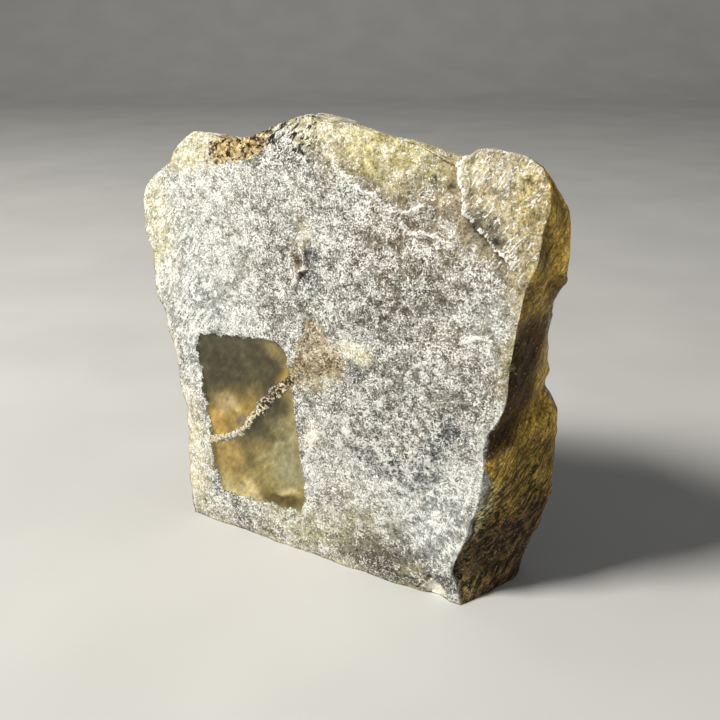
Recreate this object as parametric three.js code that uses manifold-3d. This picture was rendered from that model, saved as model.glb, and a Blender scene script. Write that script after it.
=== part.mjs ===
// Rough labradorite chunk with a small polished window.
//
// One solid stone, in millimetres, +Z up. It stands on a flat broken base with its sawn face
// towards -Y. The faces round the sawn one are broken rock: a bevel under the top edge, a
// shoulder at the upper right, a right side that flares towards the back, and a lumpy back.
// The block is a fine box bent to that outline, then cut as the real stone was: sawn flat at
// the front, broken flat at the base, split along a few planes, and ground for the window.

import * as THREE from 'three';
import { mergeVertices } from 'three/addons/utils/BufferGeometryUtils.js';
import Module from 'manifold-3d';

const wasm = await Module();
wasm.setup();

// Driving dimensions, in millimetres.
const HEIGHT = 96;                // to the highest knob of the top edge
const SAWN_FACE_Y = 0;            // the sawn face, before the stone is centred
const THICKNESS_FOOT = 22.5;      // sawn face to back, just above the base
const THICKNESS_BELLY = 26;       // at the thickest, about a third of the way up
const THICKNESS_TOP = 17;         // under the top edge
const BELLY_HEIGHT = 34;          // where the stone is thickest
const SPARE = 2;                  // rock that the saw and the base break take off
const BACK_ROUNDING = 0.1;        // how far the back's edges draw in, as a share of the outline
const ROUNDING_START = 0.6;       // where that rounding starts, as a share of the way back
const BACK_DOME = 0.1;            // how much thinner the stone is at its rim than in its middle
const SIDE_ROUGHNESS = 0.6;       // share of the swells that shows on the sides
const TOP_ROUGHNESS = 0.5;        // share of the swells that shows on the top
const EDGE_SHARPNESS = 5;         // how closely the swells of a side keep to that side
const OUTLINE_MIDDLE = [40, 44];  // the outline's middle, [across, up] from the lower left corner
const WINDOW_DEPTH = 0.4;         // how far the polished window lies under the sawn face
const WINDOW_CORNER = 3.5;        // corner radius of the window
const CELLS = { across: 32, deep: 9, up: 34 };

// The outline of the sawn face: points [across, up] from the lower left corner, one list per
// edge. Side edges run upwards, the top edge runs from left to right.
const FRONT_EDGES = {
  left: [[1, 0], [0.2, 4], [0.6, 12], [1.2, 22], [0.8, 28], [-1.4, 39], [-3.4, 49], [-5.4, 56],
    [-5.8, 61], [-4.9, 64], [-6.7, 68], [-7.2, 73], [-6.1, 77.5], [-2.7, 81], [1.3, 83.7],
    [3.3, 87.4]],
  top: [[3.3, 87.4], [8.7, 90.9], [15.5, 90.5], [19, 89.7], [25, 92.2], [32.7, 95.3],
    [35.9, HEIGHT], [39, 94.7], [47, 94.3], [53, 92.9], [60, 92.5], [69.5, 90.3], [72.8, 92.6],
    [80.7, 92.2], [84, 89.6]],
  right: [[72.8, 0], [71.8, 4], [70.8, 8], [73, 16], [74.8, 22], [76, 30], [76.3, 38],
    [79.8, 46], [80.8, 58], [82.3, 68], [83.6, 76], [84.2, 84], [84, 89.6]],
};

// The same for the broken back, which the sides lead to.
const BACK_EDGES = {
  left: [[4, 0], [3, 12], [3.5, 26], [1, 40], [-1, 52], [-2.5, 62], [-3.5, 72], [-1, 80],
    [6, 85.5]],
  top: [[6, 85.5], [12, 88], [20, 88.4], [29, 92.6], [35, 94.6], [46, 91], [58, 89], [69, 87.8],
    [76, 87.5]],
  right: [[80, 0], [82.8, 8], [85.2, 18], [84.6, 34], [81.2, 43], [81.4, 54], [81.4, 61],
    [85, 68], [84.4, 77], [82.4, 83], [76, 87.5]],
};

// Slow swells of the broken rock: crossed waves, each with its height and its lengths, over two
// pi, along [across, deep, up].
const SWELLS = [
  { height: 0.75, lengths: [8.5, 9, 10.5] },
  { height: 0.35, lengths: [6.3, 5.1, 7.7] },
  { height: 0.3, lengths: [4.1, 4.4, 3.9] },
];

// Flat breaks: each takes off all rock on the outer side of a plane through a point
// [across, deep, up], where outward is the plane's normal.
const BREAKS = [
  { name: 'shoulder', point: [77, 0.6, 77], outward: [0.22, -0.94, 0.27] },
  { name: 'upper right edge', point: [85.2, 3, 76], outward: [0.84, -0.54, 0.06] },
  { name: 'top bevel', point: [58, 0, 83], outward: [0.05, -0.96, 0.27] },
  { name: 'back slab', point: [22, 22.5, 60], outward: [-0.18, 0.95, 0.16] },
  { name: 'back heel', point: [40, 22.5, 6], outward: [0, 0.93, -0.36] },
  { name: 'left back edge', point: [-1, 15, 40], outward: [-0.76, 0.64, 0.02] },
];

// The crusted hollow in the top edge, left by a round flake: its middle and radii, in the order
// [across, deep, up].
const CRUSTED_HOLLOW = { middle: [26, -12, 98], radii: [25, 15, 20] };

// The polished window's corners on the sawn face, [across, up], clockwise from its lower left.
const WINDOW_CORNERS = [[10.5, 8.2], [5.9, 46.6], [29.6, 48.8], [34.6, 10.6]];

// A small chip out of the sawn face's lower edge: its middle [across, deep, up] and size.
const CHIP = { middle: [65.5, -0.6, 1.5], size: [6.5, 3.4, 7.5], turn: 0.5 };

const STONE_COLOUR = 0x9a9482;

// ---- shape of the block ----

const spline = (points) => new THREE.SplineCurve(
  points.map(([across, up]) => new THREE.Vector2(across, up)),
);

const splines = (edges) => ({
  left: spline(edges.left),
  top: spline(edges.top),
  right: spline(edges.right),
  foot: new THREE.LineCurve(
    new THREE.Vector2(...edges.left[0]),
    new THREE.Vector2(...edges.right[0]),
  ),
});

const FRONT = splines(FRONT_EDGES);
const BACK = splines(BACK_EDGES);

// A point inside an outline: s runs 0 to 1 across and t 0 to 1 up. It is the blend of the two
// side edges, plus the blend of foot and top, less the blend of the four corners.
function insideOutline(outline, s, t) {
  const left = outline.left.getPointAt(t);
  const right = outline.right.getPointAt(t);
  const foot = outline.foot.getPointAt(s);
  const top = outline.top.getPointAt(s);
  const sides = left.multiplyScalar(1 - s).add(right.multiplyScalar(s));
  const ends = foot.multiplyScalar(1 - t).add(top.multiplyScalar(t));
  const lowCorners = outline.foot.getPointAt(0).lerp(outline.foot.getPointAt(1), s);
  const highCorners = outline.top.getPointAt(0).lerp(outline.top.getPointAt(1), s);
  return sides.add(ends).sub(lowCorners.lerp(highCorners, t));
}

// Sawn face to back at a height: it swells from the foot to the belly and thins to the top.
function thicknessAt(up) {
  const rise = THREE.MathUtils.smoothstep(up, 0, BELLY_HEIGHT);
  const fall = THREE.MathUtils.smoothstep(up, BELLY_HEIGHT, HEIGHT);
  return THREE.MathUtils.lerp(THICKNESS_FOOT, THICKNESS_BELLY, rise)
    + (THICKNESS_TOP - THICKNESS_BELLY) * fall;
}

// How far the swells lift the rock at a point: each wave leans with the height.
function swell(across, deep, up) {
  return SWELLS.reduce((lift, { height, lengths }) => {
    const along = Math.sin(across / lengths[0] + up / (2 * lengths[2]));
    const crossing = Math.cos(up / lengths[2] - deep / lengths[1]);
    return lift + height * along * crossing;
  }, 0);
}

// Moves a point of the unit box, s across, d deep and t up, each 0 to 1, to its place in rock.
// The back's edges are rounded: the outline draws in along a quarter circle near the back.
function placeInRock(s, d, t) {
  const flat = insideOutline(FRONT, s, t).lerp(insideOutline(BACK, s, t), d);
  const pastStart = Math.max(0, (d - ROUNDING_START) / (1 - ROUNDING_START));
  const drawIn = BACK_ROUNDING * (1 - Math.sqrt(1 - pastStart ** 2));
  flat.lerp(new THREE.Vector2(...OUTLINE_MIDDLE), drawIn);

  const toRim = Math.max(Math.abs(2 * s - 1), Math.abs(2 * t - 1));
  const thickness = thicknessAt(flat.y) * (1 - BACK_DOME * toRim ** 4);
  const deep = SAWN_FACE_Y - SPARE + d * (thickness + SPARE);

  const rough = swell(flat.x, deep, flat.y) * Math.min(1, 3 * d);
  const sideways = SIDE_ROUGHNESS * (2 * s - 1) ** EDGE_SHARPNESS;
  const upwards = TOP_ROUGHNESS * Math.max(0, 2 * t - 1) ** EDGE_SHARPNESS;
  return new THREE.Vector3(
    flat.x + rough * sideways,
    deep + (d === 1 ? rough : 0),
    flat.y + rough * upwards - (t === 0 ? SPARE : 0),
  );
}

function roughBlock() {
  const box = new THREE.BoxGeometry(1, 1, 1, CELLS.across, CELLS.deep, CELLS.up);
  const place = box.attributes.position;
  for (let i = 0; i < place.count; i++) {
    const at = placeInRock(place.getX(i) + 0.5, place.getY(i) + 0.5, place.getZ(i) + 0.5);
    place.setXYZ(i, at.x, at.y, at.z);
  }
  return box;
}

// ---- cutting ----

function toSolid(geometry) {
  const bare = geometry.index ? geometry.clone() : geometry;
  bare.deleteAttribute('normal');
  bare.deleteAttribute('uv');
  const merged = mergeVertices(bare, 1e-4);
  return new wasm.Manifold(new wasm.Mesh({
    numProp: 3,
    vertProperties: new Float32Array(merged.attributes.position.array),
    triVerts: new Uint32Array(merged.index.array),
  }));
}

function toGeometry(solid) {
  const mesh = solid.getMesh();
  const geometry = new THREE.BufferGeometry();
  geometry.setAttribute('position', new THREE.BufferAttribute(mesh.vertProperties, 3));
  geometry.setIndex(new THREE.BufferAttribute(mesh.triVerts, 1));
  return geometry;
}

// The rock that is kept: behind the saw's plane and above the base.
function keptRock() {
  const size = 3 * HEIGHT;
  const room = new THREE.BoxGeometry(size, size, size);
  room.translate(0, SAWN_FACE_Y + size / 2, size / 2);
  return room;
}

// A box whose one face lies on the break's plane, with the box on the plane's outer side.
function outerSide({ point, outward }) {
  const size = 3 * HEIGHT;
  const normal = new THREE.Vector3(...outward).normalize();
  const box = new THREE.BoxGeometry(size, size, size);
  box.translate(0, 0, size / 2);
  box.applyQuaternion(new THREE.Quaternion().setFromUnitVectors(new THREE.Vector3(0, 0, 1), normal));
  box.translate(...point);
  return box;
}

function flake({ middle, radii }) {
  const ball = new THREE.SphereGeometry(1, 48, 32);
  ball.scale(...radii);
  ball.translate(...middle);
  return ball;
}

function chipBox() {
  const box = new THREE.BoxGeometry(...CHIP.size);
  box.rotateY(CHIP.turn);
  box.rotateX(CHIP.turn);
  box.translate(...CHIP.middle);
  return box;
}

// The recess of the polished window: a four-sided pane with round corners, pushed in from the
// sawn face.
function windowRecess() {
  const corners = WINDOW_CORNERS.map(([across, up]) => new THREE.Vector2(across, up));
  const pane = new THREE.Shape();
  corners.forEach((corner, i) => {
    const before = corners[(i + 3) % 4].clone().sub(corner).setLength(WINDOW_CORNER).add(corner);
    const after = corners[(i + 1) % 4].clone().sub(corner).setLength(WINDOW_CORNER).add(corner);
    if (i === 0) pane.moveTo(before.x, before.y);
    else pane.lineTo(before.x, before.y);
    pane.quadraticCurveTo(corner.x, corner.y, after.x, after.y);
  });
  const recess = new THREE.ExtrudeGeometry(pane, {
    depth: WINDOW_DEPTH + SPARE,
    bevelEnabled: false,
    curveSegments: 6,
  });
  recess.rotateX(Math.PI / 2);
  recess.translate(0, SAWN_FACE_Y + WINDOW_DEPTH, 0);
  return recess;
}

// ---- the stone ----

function makeStone() {
  let rock = toSolid(roughBlock()).intersect(toSolid(keptRock()));
  for (const plane of BREAKS) {
    rock = rock.subtract(toSolid(outerSide(plane)));
  }
  rock = rock.subtract(toSolid(flake(CRUSTED_HOLLOW)));
  rock = rock.subtract(toSolid(chipBox()));
  rock = rock.subtract(toSolid(windowRecess()));

  const geometry = toGeometry(rock);
  geometry.computeBoundingBox();
  const { min, max } = geometry.boundingBox;
  geometry.translate(-(min.x + max.x) / 2, -(min.y + max.y) / 2, -min.z);
  geometry.computeVertexNormals();

  const mesh = new THREE.Mesh(geometry, new THREE.MeshStandardMaterial({
    color: STONE_COLOUR,
    roughness: 0.8,
    metalness: 0,
  }));
  mesh.name = 'labradorite_chunk';
  return mesh;
}

const group = new THREE.Group();
group.add(makeStone());

export default group;
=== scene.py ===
"""Looks of a rough labradorite chunk: a frosted sawn front with a small polished window, a crusted
hollow in its top edge, and broken amber and brown sides. Lengths in this file are in millimetres
until a mesh is made. A place on the stone is [across, deep, up]: from the lower left corner of the
sawn face, from the sawn face to the back, and from the base."""

import math
from itertools import product

import bpy
import numpy as np
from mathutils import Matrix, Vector


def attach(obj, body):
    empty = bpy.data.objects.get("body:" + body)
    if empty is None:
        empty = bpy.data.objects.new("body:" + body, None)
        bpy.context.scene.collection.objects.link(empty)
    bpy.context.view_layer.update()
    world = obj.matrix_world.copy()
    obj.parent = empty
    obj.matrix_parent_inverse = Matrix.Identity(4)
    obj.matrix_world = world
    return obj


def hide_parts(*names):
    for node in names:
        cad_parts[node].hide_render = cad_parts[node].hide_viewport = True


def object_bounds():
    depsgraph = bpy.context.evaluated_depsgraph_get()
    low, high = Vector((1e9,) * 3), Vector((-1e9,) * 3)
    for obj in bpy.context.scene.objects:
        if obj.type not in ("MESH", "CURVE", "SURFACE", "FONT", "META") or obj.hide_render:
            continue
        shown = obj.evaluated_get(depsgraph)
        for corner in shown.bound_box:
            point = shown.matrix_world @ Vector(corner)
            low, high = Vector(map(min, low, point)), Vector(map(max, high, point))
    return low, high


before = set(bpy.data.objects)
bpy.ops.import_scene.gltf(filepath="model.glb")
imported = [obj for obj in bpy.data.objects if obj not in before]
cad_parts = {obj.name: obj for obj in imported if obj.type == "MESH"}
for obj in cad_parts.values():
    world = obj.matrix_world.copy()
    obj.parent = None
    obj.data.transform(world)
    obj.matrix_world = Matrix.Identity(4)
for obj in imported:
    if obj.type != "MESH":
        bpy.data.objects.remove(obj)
cad_low, cad_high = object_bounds()

MM = 0.001

# ---------------------------------------------------------------- the stone's driving dimensions

HEIGHT = 96
THICKNESS_FOOT, THICKNESS_BELLY, THICKNESS_TOP = 22.5, 26, 17
BELLY_HEIGHT = 34
BACK_ROUNDING, ROUNDING_START, BACK_DOME = 0.1, 0.6, 0.1
SIDE_ROUGHNESS, TOP_ROUGHNESS, EDGE_SHARPNESS = 0.6, 0.5, 5
OUTLINE_MIDDLE = (40, 44)
CELL = 0.53  # width of the fine mesh's squares
DEPTH_SHARE = 0.92  # share of the squares that its depth would take at that width
UPPER_WIDTH, FULL_WIDTH, FULL_HEIGHT = 84, 90, 95  # spans that turn shares into distances from edges
FAR = 9.0  # distance given to points that aren't on the front
WINDOW_DEPTH, WINDOW_CORNER = 0.4, 3.8
CORE_LOW, CORE_HIGH = (20, 13, 15), (62, 13, 75)  # the flat core that breaks are worked out from

FRONT_EDGES = {
    "left": [(1, 0), (0.2, 4), (0.6, 12), (1.2, 22), (0.8, 28), (-1.4, 39), (-3.4, 49), (-5.4, 56),
             (-5.8, 61), (-4.9, 64), (-6.7, 68), (-7.2, 73), (-6.1, 77.5), (-2.7, 81), (1.3, 83.7),
             (3.3, 87.4)],
    "top": [(3.3, 87.4), (8.7, 90.9), (15.5, 90.5), (19, 89.7), (25, 92.2), (32.7, 95.3), (35.9, 96),
            (39, 94.7), (47, 94.3), (53, 92.9), (60, 92.5), (69.5, 90.3), (72.8, 92.6), (80.7, 92.2),
            (84, 89.6)],
    "right": [(72.8, 0), (71.8, 4), (70.8, 8), (73, 16), (74.8, 22), (76, 30), (76.3, 38), (79.8, 46),
              (80.8, 58), (82.3, 68), (83.6, 76), (84.2, 84), (84, 89.6)],
}
BACK_EDGES = {
    "left": [(4, 0), (3, 12), (3.5, 26), (1, 40), (-1, 52), (-2.5, 62), (-3.5, 72), (-1, 80), (6, 85.5)],
    "top": [(6, 85.5), (12, 88), (20, 88.4), (29, 92.6), (35, 94.6), (46, 91), (58, 89), (69, 87.8),
            (76, 87.5)],
    "right": [(80, 0), (82.8, 8), (85.2, 18), (84.6, 34), (81.2, 43), (81.4, 54), (81.4, 61), (85, 68),
              (84.4, 77), (82.4, 83), (76, 87.5)],
}

# Slow swells of the broken rock: height, and lengths over two pi along [across, deep, up].
SWELLS = [(0.75, (8.5, 9, 10.5)), (0.35, (6.3, 5.1, 7.7)), (0.3, (4.1, 4.4, 3.9))]

# Flat breaks: a point of the plane, its outward normal, and how far the break's edge wanders.
BREAKS = [
    ((77, 0.6, 77), (0.22, -0.94, 0.27), 0.35),   # shoulder
    ((85.2, 3, 76), (0.84, -0.54, 0.06), 0.5),    # upper right edge
    ((58, 0, 83), (0.05, -0.96, 0.27), 0.3),      # top bevel
    ((22, 22.5, 60), (-0.18, 0.95, 0.16), 0.5),   # back slab
    ((40, 22.5, 6), (0, 0.93, -0.36), 0.4),       # back heel
    ((-1, 15, 40), (-0.76, 0.64, 0.02), 0.4),     # left back edge
]

# Round flakes gone from the front: middle and radii.
HOLLOWS = [
    ((26, -12, 98), (25, 15, 20)),                # crusted hollow
    ((66.6, -8, -1.5), (6, 9.6, 9.5)),            # chip in the lower edge
]

# Ledges on the front: a line of [across, up] points, the side of it that lies lower (1 for the
# right-hand side as it is followed), its depth, the reach over which the rock rises back, and the
# share of painted shade on its low side.
LEDGES = [
    ([(42.5, 86.8), (46, 85), (50, 83), (53, 81.2), (54.8, 79.6), (59, 80.2), (62.5, 81.6),
      (66, 79.6)], -1, 1.0, 7, 0.45),
    ([(69.8, 91), (66, 88.6), (67.4, 86.4), (69.2, 84.4), (69.6, 81.4), (70.4, 78.6), (73.2, 76.8),
      (77, 74), (81, 70)], 1, 1.8, 6, 0.9),
    ([(56, 79), (59.5, 76.4), (63.8, 76.8), (67.4, 74.6)], -1, 0.6, 3, 0.5),
    ([(31, 59), (34, 63.2), (36, 67.5), (35.2, 72)], 1, 0.4, 3, 0.25),
    ([(70, 57), (73, 59), (75.6, 58), (76.4, 54)], -1, 0.6, 4, 0.4),
]

# Facets of the broken rock: height, size and seed.
BACK_FACETS = [(1.9, 13, 1), (1.0, 6, 2), (0.4, 3.4, 10)]
PLAIN_FACETS = [(0.5, 7, 3)]
FINE_FACETS = [(0.26, 2.7, 4), (0.16, 1.5, 5)]

WINDOW = [(10.5, 8.4), (5.6, 47.0), (30.2, 49.4), (34.9, 10.4)]
CRACK = [(5.5, 20.8), (9.7, 21.8), (14.5, 24), (17.5, 26.3), (20.1, 28.6), (22, 31.2), (24.3, 34.4),
         (27.2, 37.5), (30.7, 40.4), (33.5, 42)]
PITS = [(34, 67.1, 0.9), (34.7, 64.4, 0.7), (53.6, 58.5, 0.6), (76.2, 76, 0.7), (41.4, 87, 0.5),
        (49.5, 57, 0.4), (44.5, 55.2, 0.45), (62, 71, 0.4), (57, 52, 0.35), (30, 82, 0.4),
        (71.5, 78.4, 0.9), (66, 84.6, 0.7), (56.2, 29.6, 0.6), (62.5, 33, 0.5), (48.5, 27.5, 0.5)]

# Thin dark seams and thin white veins and scratches on the front, as lines of [across, up] points.
SEAMS = [
    [(61.9, 0.2), (63.4, 2.4), (64.2, 3.6), (65.6, 4.9)],
    [(30.7, 39.6), (34.5, 42.2), (39.5, 44.6), (44, 47.6)],
    [(33, 44.5), (35.2, 48), (38, 50.2), (41.5, 50.8)],
    [(70.2, 79.4), (71.6, 77.6), (74.4, 76), (77.4, 73.4)],
]
VEINS = [
    [(41, 35.5), (44, 33), (48, 31.4), (52, 31), (54.4, 28.6), (56, 27), (57, 24.2), (60, 23)],
    [(52, 31), (55.5, 33.4), (59, 33.6), (60.8, 31), (59.6, 28.4), (56, 27)],
    [(60.8, 31), (64.5, 29.8), (67.5, 30.6)],
    [(63.6, 36.4), (64.6, 32.4), (63.8, 28)],
    [(33.6, 22.5), (36.6, 25.5), (37.4, 29), (40, 31.6), (41, 35.5)],
    [(58.5, 47.5), (62, 51), (66.5, 52.5)],
    [(60.5, 54), (62, 51), (62.6, 47.4)],
    [(3.3, 44.6), (5.6, 48.8), (8.9, 53)],
    [(4.4, 43.6), (6.9, 48.2), (10.6, 52.6)],
    [(-1.6, 55), (1.2, 60.5), (3.2, 64.2)],
    [(0.4, 50.2), (3.6, 57.2), (6.8, 62.6)],
]

# Ovals on the front where something is found: middle, radii, lean and softness.
CRUST = ((19.2, 88.8), (7.2, 3.2), 20, 0.35)
SOOT = ((31, 91.8), (6.6, 4.8), 20, 0.5)
SAW_MARKS = ((0, 58), (13, 24), 15, 0.6)
CROSS_MARKS = ((69, 16), (7, 9), 0, 0.5)
WEB = ((56, 33), (17, 13), 10, 0.5)
RUGGED_HIGH = ((62, 78), (12, 10), -20, 0.5)
RUGGED_LOW = ((55, 45), (30, 30), 0, 0.5)
STAIN = [(30, 39.6), (36.6, 55.6), (39.2, 54.6), (44.6, 46.8)]
FOLD_HEIGHT = 38  # of the fold across the right side


# ---------------------------------------------------------------- sums on whole arrays

def ease(low, high, value):
    """0 below `low`, 1 above `high`, and a smooth S between them."""
    share = np.clip((value - low) / (high - low), 0, 1)
    return share * share * (3 - 2 * share)


def blend(start, end, share):
    """`start` where the share is 0, `end` where it is 1."""
    return start * (1 - share) + end * share


def blend_rows(start, end, share):
    """The same for places or colours, which may be one per point or one for all of them."""
    return blend(np.asarray(start, float), np.asarray(end, float), share[:, None])


def bell(distance, width):
    """1 at no distance, falling as e to the minus square of the distance over the width."""
    return np.exp(-(distance / width)**2)


def smooth_line(points, share):
    """Points on a smooth line, at shares 0 to 1 of its length. Each span is the cubic through its
    two ends whose slopes are half the chord between the neighbours on either side."""
    points = np.asarray(points, float)
    start, end = points[:-1], points[1:]
    slope_in = (end - np.vstack([points[:1], points[:-2]])) / 2
    slope_out = (np.vstack([points[2:], points[-1:]]) - start) / 2
    t = np.linspace(0, 1, 24, endpoint=False)[:, None, None]
    line = ((2 * t**3 - 3 * t**2 + 1) * start + (t**3 - 2 * t**2 + t) * slope_in
            + (3 * t**2 - 2 * t**3) * end + (t**3 - t**2) * slope_out)
    line = np.vstack([line.transpose(1, 0, 2).reshape(-1, 2), points[-1:]])
    length = np.append(0, np.cumsum(np.linalg.norm(np.diff(line, axis=0), axis=1)))
    return np.stack([np.interp(share, length / length[-1], line[:, k]) for k in (0, 1)], -1)


def scatter(cell, seed):
    """A fixed random number from 0 to 1 for every cell, which is three whole numbers."""
    mixed = cell[..., 0] * 73856093 ^ cell[..., 1] * 19349663 ^ cell[..., 2] * 83492791
    mixed = (mixed + seed * 26544357) & 0xFFFFFFFF
    mixed = (mixed ^ (mixed >> 13)) * 1274126177 & 0xFFFFFFFF
    mixed = (mixed ^ (mixed >> 15)) * 1103515245 & 0xFFFFFFFF
    return ((mixed ^ (mixed >> 16)) & 0xFFFFFF) / 0xFFFFFF


TURN = np.linalg.qr(np.array([[3.0, 1, 2], [-1, 4, 1], [-2, -1, 3]]))[0]


def noise(place, size, seed=0):
    """Smooth noise from -1 to 1 with humps about `size` apart: random heights at the corners of
    a turned cubic lattice, blended inside each cube."""
    turned = place @ TURN / size
    cell = np.floor(turned)
    part = turned - cell
    part = part**3 * (part * (part * 6 - 15) + 10)
    cell = cell.astype(np.int64)
    total = 0
    for corner in product((0, 1), repeat=3):
        weight = np.prod(np.where(corner, part, 1 - part), axis=-1)
        total = total + weight * scatter(cell + corner, seed)
    return 2 * total - 1


def layered(place, size, layers=4, seed=0):
    """Rough noise: layers of smooth noise, each half as long and half as high as the last."""
    return sum(noise(place, size / 2**n, seed + n) / 2**n for n in range(layers))


def chipped(place, size, seed=0):
    """Noise from -1 to 1 made of flat facets: random heights at the corners of a turned cubic
    lattice, joined by planes across the six tetrahedra of each cube."""
    bend = np.stack([noise(place, 1.3 * size, seed + 90 + k) for k in range(3)], -1)
    turned = (place + 0.3 * size * bend) @ TURN / size
    cell = np.floor(turned)
    part = turned - cell
    cell = cell.astype(np.int64)
    order = np.argsort(-part, axis=-1)
    part = np.take_along_axis(part, order, -1)
    value = scatter(cell, seed)
    total = value
    for k in range(3):
        cell = cell + (order[..., k:k + 1] == np.arange(3))
        following = scatter(cell, seed)
        total = total + part[..., k] * (following - value)
        value = following
    return 2 * total - 1


def beside(across, up, line):
    """(distance, side) of points from a line of straight stretches: side is 1 to its right as the
    line is followed and -1 to its left."""
    nearest = np.full(across.shape, np.inf)
    side = np.zeros(across.shape)
    for (x0, z0), (x1, z1) in zip(line[:-1], line[1:]):
        dx, dz = x1 - x0, z1 - z0
        along = np.clip(((across - x0) * dx + (up - z0) * dz) / (dx * dx + dz * dz), 0, 1)
        gap_x, gap_z = across - x0 - along * dx, up - z0 - along * dz
        gap = np.hypot(gap_x, gap_z)
        closer = gap < nearest
        nearest = np.where(closer, gap, nearest)
        side = np.where(closer, np.sign(gap_x * dz - gap_z * dx), side)
    return nearest, side


def outside_pane(across, up, corners, radius):
    """Distance outside a four-sided pane with round corners, negative inside it. `corners` run
    clockwise. The sides are first moved in by the radius, then the distance is drawn back out."""
    sides = []
    for (x0, z0), (x1, z1) in zip(corners, corners[1:] + corners[:1]):
        length = math.hypot(x1 - x0, z1 - z0)
        sides.append(((x0 - across) * (z1 - z0) - (z0 - up) * (x1 - x0)) / length + radius)
    first, second = np.partition(np.stack(sides), -2, axis=0)[[-1, -2]]
    beyond = np.hypot(np.maximum(first, 0), np.maximum(second, 0))
    return np.where(first > 0, beyond, first) - radius


def patch(across, up, middle, radii, lean=0, soft=0.5):
    """1 inside an oval spot with its long way leaning by `lean` degrees, easing to 0 outside it."""
    turn = math.radians(lean)
    x, z = across - middle[0], up - middle[1]
    long = (x * math.cos(turn) + z * math.sin(turn)) / radii[0]
    short = (z * math.cos(turn) - x * math.sin(turn)) / radii[1]
    return 1 - ease(1 - soft, 1 + soft, np.hypot(long, short))


# ---------------------------------------------------------------- the stone's skin

def box_skin(nx, ny, nz):
    """The skin of a box of cells: the lattice points on it as shares 0 to 1, and for each of the
    six sides the corners of its squares, wound outwards, with the two shares that run along it."""
    on_skin = np.zeros((nx + 1, ny + 1, nz + 1), bool)
    on_skin[[0, -1]] = on_skin[:, [0, -1]] = on_skin[:, :, [0, -1]] = True
    index = np.zeros(on_skin.shape, int)
    index[on_skin] = np.arange(on_skin.sum())
    shares = np.argwhere(on_skin) / (nx, ny, nz)

    def squares(side, outward):
        ring = [side[:-1, :-1], side[1:, :-1], side[1:, 1:], side[:-1, 1:]]
        ring = ring if outward else ring[::-1]
        return np.stack([corner.ravel() for corner in ring], -1)

    sides = {
        "front": squares(index[:, 0], True), "back": squares(index[:, -1], False),
        "left": squares(index[0], False), "right": squares(index[-1], True),
        "foot": squares(index[:, :, 0], False), "top": squares(index[:, :, -1], True),
    }
    return shares, sides


def inside_outline(edges, s, t):
    """A place inside an outline at shares s across and t up: the blend of the two side edges, plus
    the blend of foot and top, less the blend of the four corners."""
    left, right = smooth_line(edges["left"], t), smooth_line(edges["right"], t)
    foot = smooth_line([edges["left"][0], edges["right"][0]], s)
    top = smooth_line(edges["top"], s)
    low = blend_rows(edges["left"][0], edges["right"][0], s)
    high = blend_rows(edges["top"][0], edges["top"][-1], s)
    return blend_rows(left, right, s) + blend_rows(foot, top, t) - blend_rows(low, high, t)


def rock_place(s, d, t):
    """The block before it is cut: shares s across, d deep and t up, each 0 to 1, to a place. Front
    and back outlines are blended by depth, the back's edges draw in along a quarter circle, and
    slow swells lift the sides, the top and the back."""
    flat = blend_rows(inside_outline(FRONT_EDGES, s, t), inside_outline(BACK_EDGES, s, t), d)
    past = np.maximum(0, (d - ROUNDING_START) / (1 - ROUNDING_START))
    flat = blend_rows(flat, OUTLINE_MIDDLE, BACK_ROUNDING * (1 - np.sqrt(1 - past**2)))
    across, up = flat.T
    rise = blend(THICKNESS_FOOT, THICKNESS_BELLY, ease(0, BELLY_HEIGHT, up))
    thickness = rise + (THICKNESS_TOP - THICKNESS_BELLY) * ease(BELLY_HEIGHT, HEIGHT, up)
    to_rim = np.maximum(np.abs(2 * s - 1), np.abs(2 * t - 1))
    deep = d * thickness * (1 - BACK_DOME * to_rim**4)
    swell = sum(height * np.sin(across / x + up / (2 * z)) * np.cos(up / z - deep / y)
                for height, (x, y, z) in SWELLS) * np.minimum(1, 3 * d)
    across = across + swell * SIDE_ROUGHNESS * (2 * s - 1)**EDGE_SHARPNESS
    up = up + swell * TOP_ROUGHNESS * np.maximum(0, 2 * t - 1)**EDGE_SHARPNESS
    deep = deep + np.where(d == 1, swell, 0)
    return np.stack([across, deep, up], -1)


def break_off(place, on_foot):
    """Moves every point beyond a break's plane, or inside a hollow's oval, to the plane or the
    oval's skin, along the line to the nearest point of the stone's flat core (on the foot, along
    the foot), so that no squares fold over. The planes and ovals wander a little. Also gives how
    far each point was moved."""
    start = place
    core = np.clip(place, CORE_LOW, CORE_HIGH)
    core[on_foot, 2] = 0
    inward = core - place
    for point, outward, wander in BREAKS:
        normal = np.array(outward) / np.linalg.norm(outward)
        over = (place - point) @ normal + wander * layered(place, 7, 3, seed=11)
        slope = np.minimum(inward @ normal, -1e-6)
        place = place + inward * (np.maximum(over, 0) / -slope).clip(0, 0.9)[:, None]
    for middle, radii in HOLLOWS:
        ray = (place - middle) / radii
        step = inward / radii
        grown = 1 + 0.03 * layered(place, 4, 3, seed=12)
        a, b, c = (step * step).sum(-1), (ray * step).sum(-1), (ray * ray).sum(-1) - grown**2
        way_out = (np.sqrt(np.maximum(b * b - a * c, 0)) - b) / np.maximum(a, 1e-9)
        place = place + inward * np.where(c < 0, np.clip(way_out, 0, 0.9), 0)[:, None]
    return place, np.linalg.norm(place - start, axis=-1)


def outward_normals(place, squares):
    """Each point's outward direction: the sum of its squares' diagonals' cross products."""
    a, b, c, d = (place[squares[:, k]] for k in range(4))
    facing = np.cross(c - a, d - b)
    normal = np.zeros_like(place)
    for k in range(4):
        np.add.at(normal, squares[:, k], facing)
    return normal / np.maximum(np.linalg.norm(normal, axis=-1, keepdims=True), 1e-12)


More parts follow.
